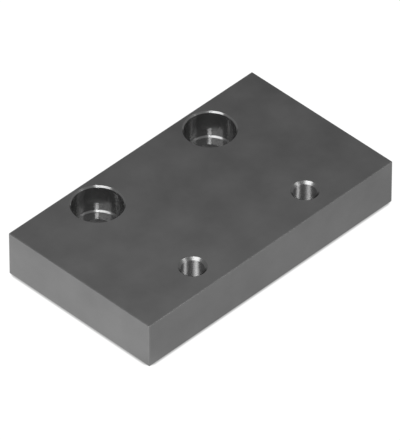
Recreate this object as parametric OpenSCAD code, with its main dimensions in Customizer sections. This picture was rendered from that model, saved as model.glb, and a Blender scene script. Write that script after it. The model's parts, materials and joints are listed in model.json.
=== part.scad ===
// Sensor adapter plate: one steel plate, milled flat and drilled, in millimetres.
// The base face lies on Z = 0 under the plate's middle, X runs along the plate,
// and +Y points to the counterbored row. Socket-head screws in that row hold the
// plate down on a machine, and the tapped row takes the sensor's own screws.

/* [Hole pattern] */
// Distance between the hole centres along the plate
column_pitch = 30; // [16:0.5:50]
// Distance between the counterbored row and the tapped row
row_pitch = 25; // [14:0.5:80]

/* [Plate] */
// Overall length
plate_length = 65; // [46:0.5:160]
// Thickness
plate_thickness = 10; // [8:0.5:30]
// Wall left between a counterbore and the long side beside it
side_wall = 1; // [0.8:0.1:12]
// Leg of the small chamfer that breaks every outer edge
edge_break = 0.2; // [0.1:0.05:0.4]

/* [Counterbored screw holes] */
// Diameter of the counterbore that takes the screw head
counterbore_d = 10; // [8:0.1:16]
// Depth of the counterbore's floor below the top face
counterbore_depth = 6.2; // [2:0.1:8.5]
// Leg of the 45 degree chamfer round the counterbore's mouth
counterbore_chamfer = 0.3; // [0.1:0.05:0.7]
// Leg of the 45 degree corner that the cutter leaves round the floor
floor_chamfer = 0.3; // [0.1:0.05:1.2]
// Diameter of the clearance hole for the screw's shank
screw_hole_d = 5.5; // [3:0.1:8]
// Leg of the chamfer where the clearance hole leaves the base face
screw_hole_chamfer = 0.3; // [0.1:0.05:1]

/* [Tapped holes] */
// Core diameter of a tapped hole, where the crests of its thread lie
thread_core_d = 4.5; // [2.5:0.1:8]
// Width of the countersunk ring round both ends of a tapped hole
countersink_width = 0.55; // [0.2:0.05:2]
// Included angle of that countersink
countersink_angle = 100; // [82:1:120]

/* [Hidden] */
$fn = 96;

// The plate is just as wide as the counterbores and their side wall ask for
side_margin = counterbore_d / 2 + side_wall;
plate_width = row_pitch + 2 * side_margin;
counterbore_r = counterbore_d / 2;
screw_hole_r = screw_hole_d / 2;
thread_core_r = thread_core_d / 2;
// How far the countersink widens for each millimetre of height, and how deep it goes
countersink_spread = tan(countersink_angle / 2);
countersink_depth = countersink_width / countersink_spread;
// Height of the counterbore's floor above the base face
floor_z = plate_thickness - counterbore_depth;
// How far every cutter runs past the faces that it opens through
cut_over = 1;

// Radius of a 45 degree mouth of the given leg, where its cutter ends past the face
function mouth_r(hole_r, leg) = hole_r + leg + cut_over;

// Corners of a centred rectangle, each corner broken at 45 degrees
function broken_rectangle(size_x, size_y) =
    let (x = size_x / 2, y = size_y / 2)
    [
        [x, y - edge_break], [x - edge_break, y],
        [edge_break - x, y], [-x, y - edge_break],
        [-x, edge_break - y], [edge_break - x, -y],
        [x - edge_break, -y], [x, edge_break - y]
    ];

// The blank is what three prisms share, one along each axis,
// so that all its edges are broken and its corners close as three facets
module blank() {
    translate([0, 0, plate_thickness / 2])
        intersection() {
            linear_extrude(plate_thickness, center = true)
                polygon(broken_rectangle(plate_length, plate_width));
            rotate([90, 0, 90])
                linear_extrude(plate_length, center = true)
                    polygon(broken_rectangle(plate_width, plate_thickness));
            rotate([90, 0, 0])
                linear_extrude(plate_width, center = true)
                    polygon(broken_rectangle(plate_length, plate_thickness));
        }
}

// Stepped cutter: clearance hole, flat floor with a slanted corner, counterbore and chamfers
module counterbored_hole() {
    rotate_extrude()
        polygon([
            [0, -cut_over],
            [mouth_r(screw_hole_r, screw_hole_chamfer), -cut_over],
            [screw_hole_r, screw_hole_chamfer],
            [screw_hole_r, floor_z],
            [counterbore_r - floor_chamfer, floor_z],
            [counterbore_r, floor_z + floor_chamfer],
            [counterbore_r, plate_thickness - counterbore_chamfer],
            [mouth_r(counterbore_r, counterbore_chamfer), plate_thickness + cut_over],
            [0, plate_thickness + cut_over]
        ]);
}

// Cutter for a tapped hole: the thread's core, countersunk at both faces
module tapped_hole() {
    wide_r = thread_core_r + countersink_width + cut_over * countersink_spread;
    rotate_extrude()
        polygon([
            [0, -cut_over],
            [wide_r, -cut_over],
            [thread_core_r, countersink_depth],
            [thread_core_r, plate_thickness - countersink_depth],
            [wide_r, plate_thickness + cut_over],
            [0, plate_thickness + cut_over]
        ]);
}

module adapter_plate() {
    color("dimgray")
        difference() {
            blank();
            for (side = [-1, 1]) {
                translate([side * column_pitch / 2, row_pitch / 2, 0]) counterbored_hole();
                translate([side * column_pitch / 2, -row_pitch / 2, 0]) tapped_hole();
            }
        }
}

adapter_plate();
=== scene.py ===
# %% [markdown]
# # Sensor adapter plate
# The object is one small steel plate, milled flat on all six sides and then drilled. Two socket-head
# screws sink into the counterbored row and hold the plate on a machine. The tapped row carries the
# sensor. The steel is burnished, which leaves a thin dark oxide, so the plate is a satin dark grey and
# only the cut edges of its holes flash when they face a lamp.
#
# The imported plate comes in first, as the fixed frame. Its box and its mounts give the plate's size and
# the places and radii of the holes. The depths and chamfers repeat those of the part's source. The
# camera, the lamps and the finishes were matched to a photograph of such a plate.

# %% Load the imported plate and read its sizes
import json
import math

import bmesh
import bpy
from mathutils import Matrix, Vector


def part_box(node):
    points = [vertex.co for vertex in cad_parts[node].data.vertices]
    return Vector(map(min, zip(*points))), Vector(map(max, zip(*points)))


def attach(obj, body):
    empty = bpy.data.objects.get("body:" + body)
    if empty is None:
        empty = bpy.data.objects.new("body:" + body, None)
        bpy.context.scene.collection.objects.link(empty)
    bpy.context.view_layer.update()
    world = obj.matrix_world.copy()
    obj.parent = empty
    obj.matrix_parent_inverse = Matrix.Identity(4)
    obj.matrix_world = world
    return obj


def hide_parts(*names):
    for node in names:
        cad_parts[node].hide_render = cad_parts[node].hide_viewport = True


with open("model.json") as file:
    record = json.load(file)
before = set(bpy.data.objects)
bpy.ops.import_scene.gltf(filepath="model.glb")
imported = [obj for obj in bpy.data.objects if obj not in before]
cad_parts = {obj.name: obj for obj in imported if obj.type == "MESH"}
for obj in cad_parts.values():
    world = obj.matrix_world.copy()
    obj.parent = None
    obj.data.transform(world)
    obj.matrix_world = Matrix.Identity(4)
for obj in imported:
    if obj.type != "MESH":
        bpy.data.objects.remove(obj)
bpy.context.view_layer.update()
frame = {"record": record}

MM = 0.001
plate_low, plate_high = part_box("adapter_plate")
plate_size = plate_high - plate_low
plate_middle = (plate_low + plate_high) / 2
plate_top = plate_high.z
mounts = {mount["name"]: mount for mount in frame["record"]["mounts"]}
print("plate in mm:", [round(side / MM, 3) for side in plate_size], "mounts:", sorted(mounts))

# %% [markdown]
# ## Camera
# A picture of a small part taken with a long lens from far away keeps its parallel edges nearly
# parallel. The camera stands about 1.7 m off and looks down at the plate's front corner. Its lens is
# worked out from how much of the scene the picture's height covers at the plate.

# %% Place the camera
CAMERA_AZIMUTH = math.radians(-45.43)
CAMERA_ELEVATION = math.radians(41.56)
CAMERA_DISTANCE = 1.68
PICTURE_HEIGHT = 82.73 * MM
AIM_RIGHT = -0.265 * MM
AIM_UP = 3.206 * MM


def direction(azimuth, elevation):
    """Unit vector from the plate to a point at that azimuth and elevation, in radians."""
    flat = math.cos(elevation)
    return Vector((math.sin(azimuth) * flat, -math.cos(azimuth) * flat, math.sin(elevation)))


camera_back = direction(CAMERA_AZIMUTH, CAMERA_ELEVATION)
camera_right = Vector((math.cos(CAMERA_AZIMUTH), math.sin(CAMERA_AZIMUTH), 0))
camera_up = camera_back.cross(camera_right)
aim = camera_right * AIM_RIGHT + camera_up * AIM_UP
camera = bpy.data.objects.new("camera", bpy.data.cameras.new("camera"))
camera.location = aim + camera_back * CAMERA_DISTANCE
camera.rotation_euler = camera_back.to_track_quat("Z", "Y").to_euler()
camera.data.lens = camera.data.sensor_width * CAMERA_DISTANCE / PICTURE_HEIGHT
bpy.context.scene.collection.objects.link(camera)
bpy.context.scene.camera = camera
print("lens in mm:", round(camera.data.lens, 1))

# %% [markdown]
# ## Nodes and colours
# Every finish below is a small network of shader nodes. One function adds a node and links it, and one
# function turns a colour as it is seen on a screen into the linear value that the shader works with.

# %% Helpers for the finishes


def linear(code):
    """An sRGB hex colour as linear RGBA."""
    channels = [int(code[i:i + 2], 16) / 255 for i in (1, 3, 5)]
    return [c / 12.92 if c <= 0.04045 else ((c + 0.055) / 1.055) ** 2.4 for c in channels] + [1]


def add_node(tree, kind, inputs=None, **settings):
    """Adds a node, sets its properties, and sets or links its inputs."""
    made = tree.nodes.new("ShaderNode" + kind)
    for name, value in settings.items():
        setattr(made, name, value)
    for name, value in (inputs or {}).items():
        if isinstance(value, bpy.types.NodeSocket):
            tree.links.new(value, made.inputs[name])
        else:
            made.inputs[name].default_value = value
    return made


def new_finish(name):
    """An empty material and its node tree."""
    finish = bpy.data.materials.new(name)
    finish.use_nodes = True
    finish.node_tree.nodes.clear()
    return finish, finish.node_tree


print("middle grey of a screen in linear light:", round(linear("#808080")[0], 3))

# %% [markdown]
# ## Burnished steel
# Burnishing (black oxide) turns bare steel dark grey without hiding its grain. Three things tell it from
# grey paint. It mirrors the room dimly and softly. The oxide is a little thicker in some places than in
# others, which shows as faint clouds. And it rubs thin along the edges, where brighter steel comes
# through. A painted texture could hold all that, but a pattern worked out from the place on the plate
# needs no unwrapping and stays sharp at any distance. The clouds come first.

# %% Oxide tones and painted light of the faces
OXIDE_DARK = "#6a6a6a"
OXIDE_PALE = "#8a8a8a"
MIDDLE_TONE = 0.5
CLOUD_SIZE = 8 * MM
CLOUD_SHARE = 0.4
SIDE_CLOUD_SHARE = 0.25
# Noise seldom leaves this range, so the range is stretched over all the tones.
NOISE_LOW = 0.3
NOISE_HIGH = 0.7
# Painted light: the share of the pale tone that each millimetre along the plate and across it adds.
PAINTED_LIGHT_CORNER = Vector((-0.006, -0.0072, 0)) / MM

burnished, tree = new_finish("burnished_steel")
coordinates = add_node(tree, "TexCoord").outputs
place = coordinates["Object"]
clouds = add_node(tree, "TexNoise", {"Vector": place, "Scale": 1 / CLOUD_SIZE, "Detail": 3.0})
swing = add_node(tree, "MapRange", {
    "Value": clouds.outputs["Fac"], "From Min": NOISE_LOW, "From Max": NOISE_HIGH,
    "To Min": -MIDDLE_TONE, "To Max": MIDDLE_TONE,
})

# The clouds are strongest on the upper face, which is handled and wiped most.
upward = add_node(tree, "SeparateXYZ", {0: coordinates["Normal"]}).outputs["Z"]
share = add_node(tree, "MapRange", {"Value": upward, "To Min": SIDE_CLOUD_SHARE, "To Max": CLOUD_SHARE})
tone_share = add_node(tree, "Math", {
    0: swing.outputs["Result"], 1: share.outputs["Result"], 2: MIDDLE_TONE,
}, operation="MULTIPLY_ADD")

# Painted light: the upper face gets slowly paler towards the corner nearest the camera and the main lamp.
painted_light_fade = add_node(tree, "VectorMath", {0: place, 1: PAINTED_LIGHT_CORNER}, operation="DOT_PRODUCT")
tone_share = add_node(tree, "Math", {
    0: painted_light_fade.outputs["Value"], 1: upward, 2: tone_share.outputs[0],
}, operation="MULTIPLY_ADD")
tone = add_node(tree, "Mix", {
    "Factor": tone_share.outputs[0], "A": linear(OXIDE_DARK), "B": linear(OXIDE_PALE),
}, data_type="RGBA")
print("oxide tones from", OXIDE_DARK, "to", OXIDE_PALE)

# %% [markdown]
# ## Rubbed edges
# Handling rubs the oxide off the edges first, in patches, and brighter steel shows there. The finish has
# to know how far each place is from an edge. On a face of the box, one of the three distances to its faces
# is nothing, and the second smallest of them is the distance to the nearest edge.

# %% Rubbed edges of the faces
RUBBED_STEEL = "#9a9a9a"
RUB_WIDTH = 0.5 * MM
RUB_SPOT = 3 * MM
RUB_SHARE = 0.45

inward = add_node(tree, "VectorMath", {0: place, 1: plate_middle}, operation="SUBTRACT")
inward = add_node(tree, "VectorMath", {0: inward.outputs[0]}, operation="ABSOLUTE")
inward = add_node(tree, "VectorMath", {0: plate_size / 2, 1: inward.outputs[0]}, operation="SUBTRACT")
axes = add_node(tree, "SeparateXYZ", {0: inward.outputs[0]}).outputs
nearer = add_node(tree, "Math", {0: axes[0], 1: axes[1]}, operation="MINIMUM")
farther = add_node(tree, "Math", {0: axes[0], 1: axes[1]}, operation="MAXIMUM")
second = add_node(tree, "Math", {0: farther.outputs[0], 1: axes[2]}, operation="MINIMUM")
to_edge = add_node(tree, "Math", {0: nearer.outputs[0], 1: second.outputs[0]}, operation="MAXIMUM")
rub = add_node(tree, "MapRange", {
    "Value": to_edge.outputs[0], "From Min": 0.0, "From Max": RUB_WIDTH,
    "To Min": RUB_SHARE, "To Max": 0.0,
}, interpolation_type="SMOOTHSTEP")
patches = add_node(tree, "TexNoise", {"Vector": place, "Scale": 1 / RUB_SPOT, "Detail": 4.0})
rub = add_node(tree, "Math", {0: rub.outputs["Result"], 1: patches.outputs["Fac"]}, operation="MULTIPLY")
tone = add_node(tree, "Mix", {
    "Factor": rub.outputs[0], "A": tone.outputs["Result"], "B": linear(RUBBED_STEEL),
}, data_type="RGBA")
print("rubbed edges in mm:", round(RUB_WIDTH / MM, 2))

# %% [markdown]
# ## Ground grain
# Grinding grit leaves a fine grain, which blurs what the steel mirrors and gives it the satin look. Here
# it is a tiny relief, with spots that are a little smoother or rougher. Real grain is about 0.1 mm wide,
# which is finer than a point of the picture, so it is drawn at 0.35 mm.

# %% Grain and surface of the faces
GRAIN_SIZE = 0.35 * MM
GRAIN_DEPTH = 0.002 * MM
SMOOTHEST = 0.30
ROUGHEST = 0.42

grain = add_node(tree, "TexNoise", {"Vector": place, "Scale": 1 / GRAIN_SIZE, "Detail": 2.0})
gloss = add_node(tree, "MapRange", {"Value": grain.outputs["Fac"], "To Min": SMOOTHEST, "To Max": ROUGHEST})
relief = add_node(tree, "Bump", {
    "Height": grain.outputs["Fac"], "Strength": 1.0, "Distance": GRAIN_DEPTH,
})
surface = add_node(tree, "BsdfPrincipled", {
    "Base Color": tone.outputs["Result"], "Metallic": 1.0,
    "Roughness": gloss.outputs["Result"], "Normal": relief.outputs["Normal"],
})
add_node(tree, "OutputMaterial", {"Surface": surface.outputs["BSDF"]})
print("finish:", burnished.name, "nodes:", len(tree.nodes))

# %% [markdown]
# ## Bored and countersunk steel
# A counterbore or a countersink turns as it cuts, so it leaves fine rings round the hole's axis, and the
# cut metal is smoother than the ground faces. That is why the holes show crisp streaks of light where the
# faces show none. All four holes lie at the corners of one rectangle, so after a fold over both middle
# lines the rings of one hole serve all of them.

# %% Finishes of the cut surfaces
# Real feed marks lie about 0.1 mm apart, drawn here at 0.3 mm so that they can be seen.
FEED_MARKS = 0.3 * MM
FEED_DEPTH = 0.001 * MM
QUARTER_TURN = 0.25
hole_corner = Vector(mounts["head_recess_right"]["pos_m"])


def turned_marks(tree, place, spacing, depth):
    """Rings round each hole: their direction and the normal of their relief."""
    side = add_node(tree, "VectorMath", {0: place}, operation="SIGN")
    outward = add_node(tree, "VectorMath", {0: place}, operation="ABSOLUTE")
    outward = add_node(tree, "VectorMath", {0: outward.outputs[0], 1: hole_corner}, operation="SUBTRACT")
    outward = add_node(tree, "VectorMath", {
        0: outward.outputs[0], 1: side.outputs[0],
    }, operation="MULTIPLY")
    ring = add_node(tree, "VectorMath", {0: outward.outputs[0], 1: (0, 0, 1)}, operation="CROSS_PRODUCT")
    radius = add_node(tree, "VectorMath", {0: ring.outputs[0]}, operation="LENGTH")
    height = add_node(tree, "SeparateXYZ", {0: place}).outputs["Z"]
    along = add_node(tree, "Math", {0: radius.outputs["Value"], 1: height}, operation="ADD")
    turns = add_node(tree, "Math", {0: along.outputs[0], 1: math.tau / spacing}, operation="MULTIPLY")
    marks = add_node(tree, "Math", {0: turns.outputs[0]}, operation="SINE")
    relief = add_node(tree, "Bump", {"Height": marks.outputs[0], "Strength": 1.0, "Distance": depth})
    return ring.outputs[0], relief.outputs["Normal"]


def cut_finish(name, colour, gloss, bare_share, stretch):
    """Steel as a turning tool leaves it, with rings round each hole that stretch its highlights."""
    finish, tree = new_finish(name)
    place = add_node(tree, "TexCoord").outputs["Object"]
    ring, relief = turned_marks(tree, place, FEED_MARKS, FEED_DEPTH)
    surface = add_node(tree, "BsdfPrincipled", {
        "Base Color": linear(colour), "Metallic": bare_share, "Roughness": gloss,
        "Anisotropic": stretch, "Anisotropic Rotation": QUARTER_TURN, "Tangent": ring, "Normal": relief,
    })
    add_node(tree, "OutputMaterial", {"Surface": surface.outputs["BSDF"]})
    return finish


# The counterbore's cutter leaves the smoothest steel, and the walls show lamps as narrow streaks.
bored = cut_finish("bored_steel", colour="#7c7c7c", gloss=0.18, bare_share=0.85, stretch=0.3)
# A countersink leaves its cones a little rougher, so they flash more broadly and softly.
sunk = cut_finish("countersunk_steel", colour="#7e7e7e", gloss=0.26, bare_share=1.0, stretch=0.0)
print("finishes of the cuts:", bored.name, sunk.name)

# %% [markdown]
# ## Fine thread
# The tapped holes hold a fine thread, M5 with a pitch of 0.5 mm. In the picture one turn is only two points
# high, so the eye gets no turns from it, only the light that its flanks throw up out of the hole in
# upright streaks. A helix cut into the wall would flicker at that size. So the wall is a plain bore at the
# thread's core, its shading leans almost fully to the slope of the flanks, and only a trace is left of the
# relief of the turns. That relief draws them as rings, because a turn climbs by only two degrees.

# %% Finish of the thread
THREAD_STEEL = "#5e5e5e"
THREAD_GLOSS = 0.23
THREAD_PITCH = 0.5 * MM
THREAD_RELIEF = 0.02 * MM
# A new metric flank slopes by 30 degrees. It is set flatter here, which makes the streaks as bright as in
# the photograph.
THREAD_FLANK = math.radians(25.6)
THREAD_LEAN = 0.95

threaded, tree = new_finish("cut_thread")
place = add_node(tree, "TexCoord").outputs["Object"]
ring, relief = turned_marks(tree, place, THREAD_PITCH, THREAD_RELIEF)
outward = add_node(tree, "VectorMath", {0: (0, 0, 1), 1: ring}, operation="CROSS_PRODUCT")
outward = add_node(tree, "VectorMath", {0: outward.outputs[0]}, operation="NORMALIZE")

# The flanks that show face the nearer end of the hole, up in its upper half and down in its lower half.
half = add_node(tree, "VectorMath", {0: place, 1: plate_middle}, operation="SUBTRACT")
half = add_node(tree, "VectorMath", {0: half.outputs[0]}, operation="SIGN")
lengthwise = add_node(tree, "VectorMath", {
    0: half.outputs[0], 1: (0, 0, math.cos(THREAD_FLANK)),
}, operation="MULTIPLY")
flank = add_node(tree, "VectorMath", {
    0: outward.outputs[0], 1: (-math.sin(THREAD_FLANK),) * 3, 2: lengthwise.outputs[0],
}, operation="MULTIPLY_ADD")
shade = add_node(tree, "Mix", {
    "Factor": THREAD_LEAN, "A": relief, "B": flank.outputs[0],
}, data_type="VECTOR")
shade = add_node(tree, "VectorMath", {0: shade.outputs["Result"]}, operation="NORMALIZE")
surface = add_node(tree, "BsdfPrincipled", {
    "Base Color": linear(THREAD_STEEL), "Metallic": 1.0,
    "Roughness": THREAD_GLOSS, "Normal": shade.outputs[0],
})
add_node(tree, "OutputMaterial", {"Surface": surface.outputs["BSDF"]})
print("finish of the thread:", threaded.name, "nodes:", len(tree.nodes))

# %% [markdown]
# ## Plate blank
# The blank is a cube stretched to the plate's box. Machined parts are deburred, so every edge is broken
# by a small radius. It is too small to measure in the picture, but it keeps the edges from looking razor
# sharp.

# %% Make the blank
EDGE_BREAK = 0.2 * MM
EDGE_SEGMENTS = 3


def new_piece(name, bm, finish):
    """Turns a finished bmesh into an object at the origin, with its first finish."""
    mesh = bpy.data.meshes.new(name)
    bm.to_mesh(mesh)
    bm.free()
    mesh.materials.append(finish)
    piece = bpy.data.objects.new(name, mesh)
    bpy.context.scene.collection.objects.link(piece)
    return piece


bm = bmesh.new()
bmesh.ops.create_cube(bm, size=1)
bmesh.ops.scale(bm, verts=bm.verts, vec=plate_size)
bmesh.ops.translate(bm, verts=bm.verts, vec=plate_middle)
bmesh.ops.bevel(
    bm, geom=bm.edges[:], offset=EDGE_BREAK, affect="EDGES",
    segments=EDGE_SEGMENTS, profile=0.5, material=-1,
)
plate = new_piece("burnished_plate", bm, burnished)
print("blank faces:", len(plate.data.polygons))

# %% [markdown]
# ## Hole cutters
# A drill, a counterbore and a countersink are all bodies of revolution, so their cutters are profiles
# spun about an axis, as on a lathe. The counterbore's cutter has its corner ground off at 45 degrees,
# which leaves the narrow cone round the floor that catches the light in both holes.

# %% Make the counterbore cutters
CUT_OVER = 1 * MM
COUNTERBORE_DEPTH = 6.2 * MM
COUNTERBORE_CHAMFER = 0.3 * MM
FLOOR_CHAMFER = 0.3 * MM
SCREW_HOLE_CHAMFER = 0.3 * MM
LATHE_STEPS = 128
MERGE_DISTANCE = 0.001 * MM
counterbore_r = mounts["head_recess_left"]["dims"]["r_mm"] * MM
screw_hole_r = mounts["screw_hole_left"]["dims"]["r_mm"] * MM
floor_z = plate_top - COUNTERBORE_DEPTH


def turned_cutter(name, profile, axis_at, finish):
    """Spins a profile of (radius, height) points about the vertical axis through a place."""
    bm = bmesh.new()
    points = [bm.verts.new((radius, 0, height)) for radius, height in profile]
    edges = [bm.edges.new(pair) for pair in zip(points, points[1:])]
    bmesh.ops.spin(
        bm, geom=points + edges, cent=(0, 0, 0), axis=(0, 0, 1),
        angle=math.tau, steps=LATHE_STEPS, use_merge=True,
    )
    bmesh.ops.remove_doubles(bm, verts=bm.verts, dist=MERGE_DISTANCE)
    bmesh.ops.recalc_face_normals(bm, faces=bm.faces)
    bmesh.ops.translate(bm, verts=bm.verts, vec=(axis_at[0], axis_at[1], 0))
    return new_piece(name, bm, finish)


counterbore_profile = [
    (0, -CUT_OVER),
    (screw_hole_r + SCREW_HOLE_CHAMFER + CUT_OVER, -CUT_OVER),
    (screw_hole_r, SCREW_HOLE_CHAMFER),
    (screw_hole_r, floor_z),
    (counterbore_r - FLOOR_CHAMFER, floor_z),
    (counterbore_r, floor_z + FLOOR_CHAMFER),
    (counterbore_r, plate_top - COUNTERBORE_CHAMFER),
    (counterbore_r + COUNTERBORE_CHAMFER + CUT_OVER, plate_top + CUT_OVER),
    (0, plate_top + CUT_OVER),
]
cutters = [
    turned_cutter(name, counterbore_profile, mounts[name]["pos_m"], bored)
    for name in ("head_recess_left", "head_recess_right")
]
print("counterbore cutter faces:", len(cutters[0].data.polygons))

# %% [markdown]
# ## Cutters of the tapped holes
# A tapped hole is drilled through at the thread's core and countersunk at both ends, so that the screw
# finds its way in and the first turn can't break off. One profile holds the drill and both cones, because
# three separate tools would meet edge on edge, where a boolean can leave scraps.

# %% Make the cutters of the tapped holes
COUNTERSINK_WIDTH = 0.55 * MM
COUNTERSINK_ANGLE = math.radians(100)
# The cutter's faces that tilt up or down by more than this are its cones and ends, and the rest its drill.
SLOPED = 0.1
thread_core_r = mounts["sensor_thread_left"]["dims"]["r_mm"] * MM
sink_spread = math.tan(COUNTERSINK_ANGLE / 2)
sink_depth = COUNTERSINK_WIDTH / sink_spread
sink_wide = thread_core_r + COUNTERSINK_WIDTH + CUT_OVER * sink_spread
tapped_profile = [
    (0, -CUT_OVER),
    (sink_wide, -CUT_OVER),
    (thread_core_r, sink_depth),
    (thread_core_r, plate_top - sink_depth),
    (sink_wide, plate_top + CUT_OVER),
    (0, plate_top + CUT_OVER),
]
for name in ("sensor_thread_left", "sensor_thread_right"):
    cutter = turned_cutter(name, tapped_profile, mounts[name]["pos_m"], threaded)
    cutter.data.materials.append(sunk)
    for face in cutter.data.polygons:
        face.material_index = int(abs(face.normal.z) > SLOPED)
    cutters.append(cutter)
print("cutters:", [cutter.name for cutter in cutters])

# %% [markdown]
# ## Cutting
# A boolean takes each cutter out of the blank, as the drill press would, one tool after the other. Each
# cutter brings its own finish along, so the faces that it leaves are bored, countersunk or threaded steel.
# The round walls are then shaded smooth, and only edges that turn by more than 12 degrees stay sharp.

# %% Cut the holes
SHARP_ANGLE = math.radians(12)

for cutter in cutters:
    cut = plate.modifiers.new(cutter.name, "BOOLEAN")
    cut.object = cutter
    cut.operation = "DIFFERENCE"
    cut.solver = "EXACT"
    cut.material_mode = "TRANSFER"
    evaluated = plate.evaluated_get(bpy.context.evaluated_depsgraph_get())
    drilled = bpy.data.meshes.new_from_object(evaluated)
    plate.modifiers.clear()
    plate.data = drilled
    bpy.data.objects.remove(cutter)

bm = bmesh.new()
bm.from_mesh(plate.data)
bmesh.ops.recalc_face_normals(bm, faces=bm.faces)
open_edges = sum(1 for edge in bm.edges if not edge.is_manifold)
volume = bm.calc_volume() / MM**3
print("plate faces:", len(bm.faces), "open edges:", open_edges, "volume mm3:", round(volume, 1))
bm.to_mesh(plate.data)
bm.free()
plate.data.shade_smooth()
plate.data.set_sharp_from_angle(angle=SHARP_ANGLE)
print("finishes:", [finish.name for finish in plate.data.materials])

# %% [markdown]
# ## Paper floor
# The plate lies on white paper, one large square. It is split along the plate's outline, because the patch
# under the plate gets a finish of its own further down.

# %% Lay the paper
FLOOR_SIZE = 6.0

bm = bmesh.new()
bmesh.ops.create_grid(bm, x_segments=1, y_segments=1, size=FLOOR_SIZE / 2)
outline = (
    ((1, 0, 0), plate_high.x), ((-1, 0, 0), -plate_low.x),
    ((0, 1, 0), plate_high.y), ((0, -1, 0), -plate_low.y),
)
for normal, reach in outline:
    bmesh.ops.bisect_plane(
        bm, geom=bm.verts[:] + bm.edges[:] + bm.faces[:],
        plane_co=Vector(normal) * (reach - EDGE_BREAK), plane_no=normal,
    )

# The patch under the plate is the face that has its centre where the plate has its own.
for face in bm.faces:
    face.material_index = int(face.calc_center_median().length < EDGE_BREAK)

paper, tree = new_finish("white_paper")
floor = new_piece("floor", bm, paper)
print("floor faces:", len(floor.data.polygons))

# %% [markdown]
# ## Paper in the plate's sides
# The plate's sides mirror the paper. It is brighter on the side of the main lamp, so the plate's end comes
# out lighter than its long side. The change lies in front of the plate's front corner, where the two sides
# meet.

# %% Brightness of the mirrored paper
PAPER_LAMP_SIDE = 1.05
PAPER_FAR_SIDE = 0.68
PAPER_BLEND = 6 * MM

place = add_node(tree, "TexCoord").outputs["Object"]
leftwards = add_node(tree, "VectorMath", {0: place, 1: -camera_right}, operation="DOT_PRODUCT")
front_corner = Vector((plate_low.x, plate_low.y, 0)).dot(-camera_right)
mirrored = add_node(tree, "MapRange", {
    "Value": leftwards.outputs["Value"],
    "From Min": front_corner - PAPER_BLEND, "From Max": front_corner + PAPER_BLEND,
    "To Min": PAPER_FAR_SIDE, "To Max": PAPER_LAMP_SIDE,
}, interpolation_type="SMOOTHSTEP")
print("front corner in mm left of the middle:", round(front_corner / MM, 1))

# %% [markdown]
# ## Contact shadow
# The camera sees the paper as plain white. Only where the plate touches it does little light get in, so a
# narrow soft shadow follows the plate's outline. It thins out round the corners, which light reaches from
# two sides. The distance from an outline with rounded corners gives both.

# %% Shadow along the plate
PAPER_SHOWN = 0.97
CONTACT_SHADE = 0.48
CONTACT_WIDTH = 0.5 * MM
CONTACT_CORNER = 1.5 * MM

away = add_node(tree, "VectorMath", {0: place}, operation="ABSOLUTE")
corner_centre = plate_size / 2 - Vector((CONTACT_CORNER,) * 3)
away = add_node(tree, "VectorMath", {0: away.outputs[0], 1: corner_centre}, operation="SUBTRACT")
away = add_node(tree, "VectorMath", {0: away.outputs[0], 1: (0, 0, 0)}, operation="MAXIMUM")
away = add_node(tree, "VectorMath", {0: away.outputs[0]}, operation="LENGTH")
white = add_node(tree, "MapRange", {
    "Value": away.outputs["Value"],
    "From Min": CONTACT_CORNER, "From Max": CONTACT_CORNER + CONTACT_WIDTH,
    "To Min": PAPER_SHOWN * CONTACT_SHADE, "To Max": PAPER_SHOWN,
}, interpolation_type="SMOOTHSTEP")
print("contact shadow in mm:", round(CONTACT_WIDTH / MM, 2))

# %% [markdown]
# ## White paper
# Paper is matt, so the eye gets an even white from it and no mirror image. Lamps would light it unevenly,
# so it glows by itself for the camera and for the steel that mirrors it, and all other light finds plain
# paper. Only the patch under the plate doesn't glow, or it would shine up through the holes.

# %% Finishes of the paper
PAPER_WHITE = "#e7e7e7"
PAPER_FAINT = "#4a4a4a"

path = add_node(tree, "LightPath").outputs
seen = add_node(tree, "Math", {0: path["Is Camera Ray"], 1: path["Is Glossy Ray"]}, operation="MAXIMUM")
level = add_node(tree, "Mix", {
    "Factor": path["Is Camera Ray"], "A": mirrored.outputs["Result"], "B": white.outputs["Result"],
})
lit = add_node(tree, "BsdfDiffuse", {"Color": linear(PAPER_WHITE)})
faint = add_node(tree, "BsdfDiffuse", {"Color": linear(PAPER_FAINT)})
glow = add_node(tree, "Emission", {"Strength": level.outputs[0]})
shown = add_node(tree, "AddShader", {0: faint.outputs[0], 1: glow.outputs[0]})
both = add_node(tree, "MixShader", {0: seen.outputs[0], 1: lit.outputs[0], 2: shown.outputs[0]})
add_node(tree, "OutputMaterial", {"Surface": both.outputs[0]})

shaded, tree = new_finish("shaded_paper")
bare = add_node(tree, "BsdfDiffuse", {"Color": linear(PAPER_WHITE)})
add_node(tree, "OutputMaterial", {"Surface": bare.outputs[0]})
floor.data.materials.append(shaded)
print("finishes of the floor:", [finish.name for finish in floor.data.materials])

# %% [markdown]
# ## Room
# The room is an even dim grey, which is what the top face mirrors. The camera sees its walls as white, so
# that a view from lower down has a white background too.

# %% Set the room
WORLD_GREY = 0.42
WALLS_SHOWN = 1.0
WALL_COLOUR = "#ffffff"

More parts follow.
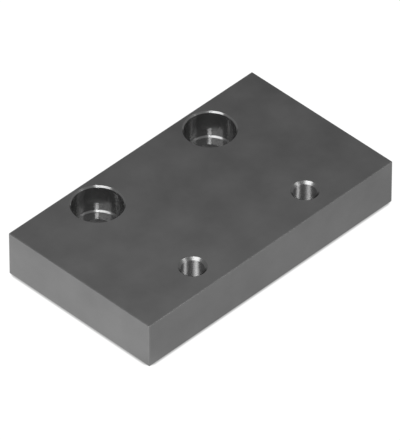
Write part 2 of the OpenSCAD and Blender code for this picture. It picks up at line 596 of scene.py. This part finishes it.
world = bpy.data.worlds.new("studio")
bpy.context.scene.world = world
world.use_nodes = True
world.node_tree.nodes.clear()
path = add_node(world.node_tree, "LightPath").outputs
walls = add_node(world.node_tree, "Mix", {
    "Factor": path["Is Camera Ray"], "A": WORLD_GREY, "B": WALLS_SHOWN,
})
walls = add_node(world.node_tree, "Background", {
    "Color": linear(WALL_COLOUR), "Strength": walls.outputs["Result"],
})
add_node(world.node_tree, "OutputWorld", {"Surface": walls.outputs["Background"]})
print("room:", world.name, "grey:", WORLD_GREY)

# %% [markdown]
# ## Lamps
# Polished metal shows its lamps as shapes, so each lamp stands where the plate's highlights ask for it. A
# wide softbox high on the left lights the crescents round the holes and the thread's flanks, and a smaller
# lamp above it makes the streaks of the flanks brighter. A third one close to the camera draws the narrow
# streaks in the counterbores, and one on the right adds the second streak in the tapped holes.

# %% Set the lamps
LAMP_DISTANCE = 0.7


def softbox(name, azimuth, elevation, width, height, radiance):
    """A lamp that faces the plate, in degrees as seen from there; its azimuth counts from the camera."""
    lamp = bpy.data.lights.new(name, "AREA")
    lamp.shape = "RECTANGLE"
    lamp.size = 2 * LAMP_DISTANCE * math.tan(math.radians(width) / 2)
    lamp.size_y = 2 * LAMP_DISTANCE * math.tan(math.radians(height) / 2)
    # The radiance is how bright the lamp looks in a mirror, whatever its size.
    lamp.energy = radiance * math.pi * lamp.size * lamp.size_y
    away = direction(CAMERA_AZIMUTH + math.radians(azimuth), math.radians(elevation))
    holder = bpy.data.objects.new(name, lamp)
    holder.location = away * LAMP_DISTANCE
    holder.rotation_euler = away.to_track_quat("Z", "Y").to_euler()
    bpy.context.scene.collection.objects.link(holder)
    print(name, "size in m:", round(lamp.size, 3), round(lamp.size_y, 3))


softbox("key_softbox", azimuth=-36, elevation=59, width=36, height=33, radiance=4.4)
softbox("top_lamp", azimuth=-54, elevation=73, width=18, height=14, radiance=3.0)
softbox("camera_lamp", azimuth=1.5, elevation=41.5, width=10, height=8, radiance=24.0)
softbox("right_lamp", azimuth=85, elevation=54, width=22, height=20, radiance=4.8)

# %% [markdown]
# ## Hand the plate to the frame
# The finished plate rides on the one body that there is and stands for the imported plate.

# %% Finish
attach(plate, "root")
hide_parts("adapter_plate")
bpy.context.scene.view_settings.view_transform = "Standard"
